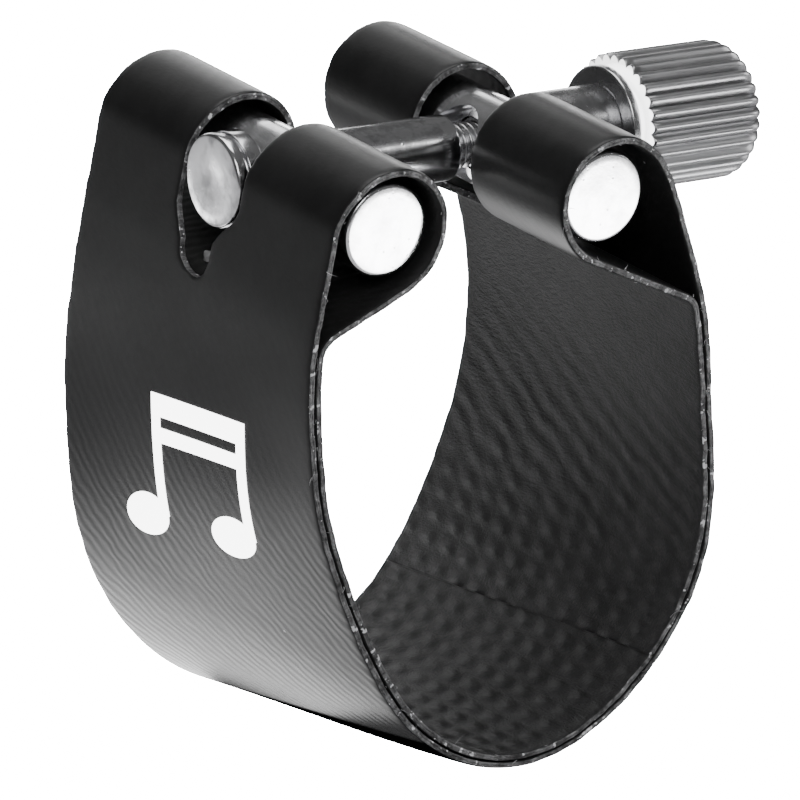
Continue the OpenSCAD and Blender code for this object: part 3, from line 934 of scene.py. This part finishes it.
def make_knob():
    """The thumbscrew's knob. Round it the radius is cut by n rounded ridges: the full radius less the
    ridge's depth times 1 - |cos(n t / 2)| ^ 0.9. They die away where the radius falls to the end face."""
    k0, k1 = KNOB[0][0] + KNOB_COLLAR, KNOB[1][0] - KNOB_SHORTER
    full, corner = (KNOB[1][2] - KNOB[0][2]) / 2, 1.3
    t = np.linspace(0, 0.5 * math.pi, 12)
    end = [(k1 - corner + corner * math.sin(a), full - corner + corner * math.cos(a)) for a in t]
    side = [(k0 + 0.16 + (k1 - corner - k0 - 0.16) * q, full) for q in np.linspace(0, 0.97, 14)]
    profile = ([(KNOB[0][0], 0), (KNOB[0][0], 2.2), (KNOB[0][0] + 0.1, 2.5), (k0, 2.5),
                (k0 + 0.02, full - 0.7), (k0 + 0.03, full - 0.12)] + side + end
               + [(k1, full - 2.2), (k1 - 0.25, full - 2.6), (k1 - 0.3, 0)])

    def ridges(along, radius, angle):
        """What the ridges leave of the radius."""
        weight = smoothstep((radius - (full - 1.5)) / 1.1) * smoothstep((along - k0 + 0.2) / 0.2)
        return 1 - RIDGE_DEPTH / full * weight * (1 - np.abs(np.cos(RIDGES * angle / 2)) ** 0.9)

    piece = turned("thumb_knob_ridged", profile, "X", AXIS, [KNOB_METAL, KNOB_FACE], turns=RIDGES * 14,
                   ripple=ridges)
    faces = piece.data.polygons
    normals, centres = np.zeros((2, 3 * len(faces)))
    faces.foreach_get("normal", normals)
    faces.foreach_get("center", centres)
    # these faces get the bright metal with the painted glow
    end_face = (normals[::3] < -0.9) & (centres[::3] < (k0 + 0.1) * MM)
    faces.foreach_set("material_index", end_face.astype(np.int32))
    return piece


knob = make_knob()


# ---------------------------------------------------------------- what each piece rides on
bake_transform(strap)
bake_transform(fibres)
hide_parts("strap_outer_left", "strap_outer_right", "strap_lining_left", "strap_lining_right")
for piece, body, slot, nodes in (
        (mark, "strap_left", "strap_face", ()),
        (bead, "strap_left", "strap_face", ()),
        (left_bar, "nut_bar", "bar_steel", ("bar_left",)),
        (sleeve, "nut_bar", "sleeve_metal", ("sleeve_nut",)),
        (right_bar, "screw_bar", "bar_steel", ("bar_right",)),
        (thread, "thumbscrew", "screw_metal", ()),
        (journal, "thumbscrew", "screw_metal", ("screw_shank",)),
        (flange, "thumbscrew", "flange_metal", ("thrust_flange",)),
        (knob, "thumbscrew", "knob_nickel", ("thumb_knob",))):
    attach(piece, body)
    if nodes:
        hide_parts(*nodes)


# ---------------------------------------------------------------- floor, light and camera
def add_light(name, place, aim, size, power):
    """A soft rectangular lamp at a place, in millimetres, that shines towards its aim."""
    data = bpy.data.lights.new(name, "AREA")
    data.shape = "RECTANGLE"
    data.size, data.size_y = size[0] * MM, size[1] * MM
    data.energy = power
    lamp = bpy.data.objects.new(name, data)
    bpy.context.scene.collection.objects.link(lamp)
    way = Vector(aim) - Vector(place)
    turn = way.to_track_quat("-Z", "Y").to_matrix().to_4x4()
    lamp.matrix_world = Matrix.Translation(Vector(place) * MM) @ turn
    return lamp


# painted reflections: bright round patches of the floor that only reflections see
FLOOR_PATCHES = (               # place in metres, radii where the patch starts and ends to fade, power
    ((-0.006, 0.017), 0.009, 0.038, 3.6),
    ((0.066, -0.105), 0.030, 0.055, 14.0),
    ((-0.062, 0.092), 0.008, 0.018, 6.0))
FLOOR_SHINE = 0.1               # away from the patches
SEEN_FLOOR, SEEN_WALLS = 40.0, 45.0
DIM_WALLS = 0.11


def make_floor():
    """A wide pale sheet just under the strap. What shines in the metal and the satin is brighter in three
    round patches of painted reflection, seen only in reflections: behind the strap, in front on the right and
    behind on the left. Painted shade makes these reflections dark where the strap lies close over it and in
    its shade in front."""
    half = 1500.0
    corners = np.array([[-half, -half, 0], [half, -half, 0], [half, half, 0], [-half, half, 0]])
    floor = put_mesh("floor", corners + [0, 0, FLOOR_Z - 0.02], np.array([[0, 1, 2, 3]]), [], smooth=False)
    material, tree, shader, place = new_material("floor_paper")
    tone = noise(tree, place, 3.0, 2.0)
    tree.links.new(mixed(tree, tone, grey(0.56), grey(0.60)), shader.inputs["Base Color"])
    shader.inputs["Roughness"].default_value = 0.9
    patches = FLOOR_SHINE
    for where, inside, outside, power in FLOOR_PATCHES:
        away = node(tree, "ShaderNodeVectorMath", {0: place, 1: (where[0], where[1], FLOOR_Z * MM)},
                    operation="DISTANCE").outputs["Value"]
        patches = maths(tree, "ADD", patches, ramp(tree, away, inside, outside, power, 0.0))
    # painted shade in the reflections, where the strap lies close over the floor
    open_sky = node(tree, "ShaderNodeAmbientOcclusion", {"Distance": 0.004}, samples=8).outputs["AO"]
    patches = maths(tree, "MULTIPLY", patches, ramp(tree, open_sky, 0.2, 0.6))
    # painted shade in the reflections: a slanting band in front of the strap
    axes = node(tree, "ShaderNodeSeparateXYZ", {0: place}).outputs
    across = maths(tree, "ADD", maths(tree, "MULTIPLY", maths(tree, "ADD", axes[0], 0.0066), 0.93),
                   maths(tree, "MULTIPLY", maths(tree, "ADD", axes[1], 0.005), -0.37))
    shade = maths(tree, "MULTIPLY", ramp(tree, across, -0.0005, 0.0012), ramp(tree, across, 0.022, 0.016))
    shade = maths(tree, "MULTIPLY", shade, ramp(tree, axes[1], 0.021, 0.014))
    patches = maths(tree, "MULTIPLY", patches, maths(tree, "SUBTRACT", 1.0, shade))
    path = node(tree, "ShaderNodeLightPath").outputs
    shine = maths(tree, "MULTIPLY_ADD", path["Is Camera Ray"], SEEN_FLOOR,
                  maths(tree, "MULTIPLY", path["Is Glossy Ray"], patches))
    tree.links.new(shine, shader.inputs["Emission Strength"])
    shader.inputs["Emission Color"].default_value = (1, 1, 1, 1)
    material.cycles.emission_sampling = "NONE"
    floor.data.materials.append(material)


def make_world():
    """Pale studio walls: grey for what they light, white where they are seen directly."""
    world = bpy.data.worlds.new("studio")
    world.use_nodes = True
    tree = world.node_tree
    background = tree.nodes["Background"]
    seen = tree.nodes.new("ShaderNodeLightPath").outputs["Is Camera Ray"]
    strength = node(tree, "ShaderNodeMapRange", {"Value": seen, "To Min": DIM_WALLS,
                                                 "To Max": SEEN_WALLS}).outputs[0]
    tree.links.new(strength, background.inputs["Strength"])
    background.inputs["Color"].default_value = (1, 1, 1, 1)
    bpy.context.scene.world = world


def add_camera(azimuth, elevation, roll, distance, lens, target):
    """A camera that looks at the target from a distance: azimuth 0 looks along +Y, and the roll turns
    the view's up towards its left."""
    az, el, turn = (math.radians(a) for a in (azimuth, elevation, roll))
    back = Vector((math.sin(az) * math.cos(el), -math.cos(az) * math.cos(el), math.sin(el)))
    right = Vector((math.cos(az), math.sin(az), 0))
    up = back.cross(right)
    right, up = right * math.cos(turn) + up * math.sin(turn), up * math.cos(turn) - right * math.sin(turn)
    data = bpy.data.cameras.new("camera")
    data.lens = lens
    data.clip_start, data.clip_end = 0.01, 20
    camera = bpy.data.objects.new("camera", data)
    bpy.context.scene.collection.objects.link(camera)
    place = (Vector(target) + back * distance) * MM
    camera.matrix_world = Matrix((right, up, back)).transposed().to_4x4()
    camera.matrix_world.translation = place
    bpy.context.scene.camera = camera


make_floor()
make_world()
add_light("key", (-180, -320, 330), (0, 0, 0), (260, 260), 1.1)
add_light("side", (380, -160, 150), (0, 0, 0), (200, 260), 0.7)
add_light("top", (40, 120, 420), (0, 0, 0), (320, 320), 1.2)
add_light("rear", (120, 420, 160), (0, 0, 10), (300, 200), 0.42)
add_light("rim", (330, 385, 50), (0, 0, 17), (170, 90), 0.25)
add_camera(-36.7, 20.1, 4.6, 400.0, 279.0, (0.35, 0.0, 0.57))
